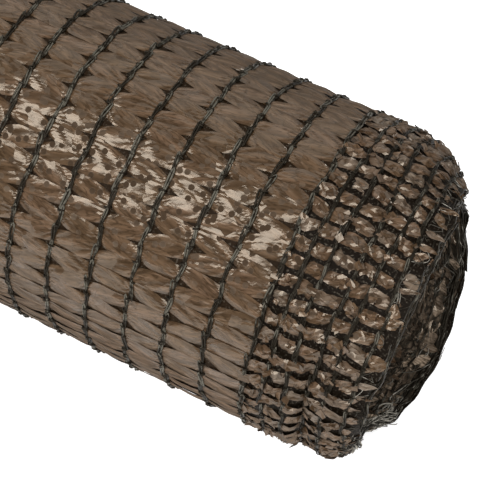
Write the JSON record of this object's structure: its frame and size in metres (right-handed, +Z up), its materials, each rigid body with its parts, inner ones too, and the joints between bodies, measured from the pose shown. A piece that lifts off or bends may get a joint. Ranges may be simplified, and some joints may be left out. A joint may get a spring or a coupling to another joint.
{
  "type": "rolled privacy screen mesh",
  "caption": "Knitted privacy screen cloth of brown flat tape on black chain stitches, rolled up on itself with no tube, one end gathered and tucked.",
  "frame": {"origin": "middle of the underside of the roll's bounding box, on the surface it lies on", "axes": "+X along the roll, towards the gathered end; +Z up; +Y towards the back, where the loose end lies"},
  "size_m": [0.7496, 0.0752, 0.0729],
  "materials": {
    "tape": "glossy creased slit-film tape, taupe brown",
    "thread": "black monofilament chain stitches, satin"
  },
  "bodies": {
    "root": {"mesh_roll": "tape"}
  },
  "joints": []
}
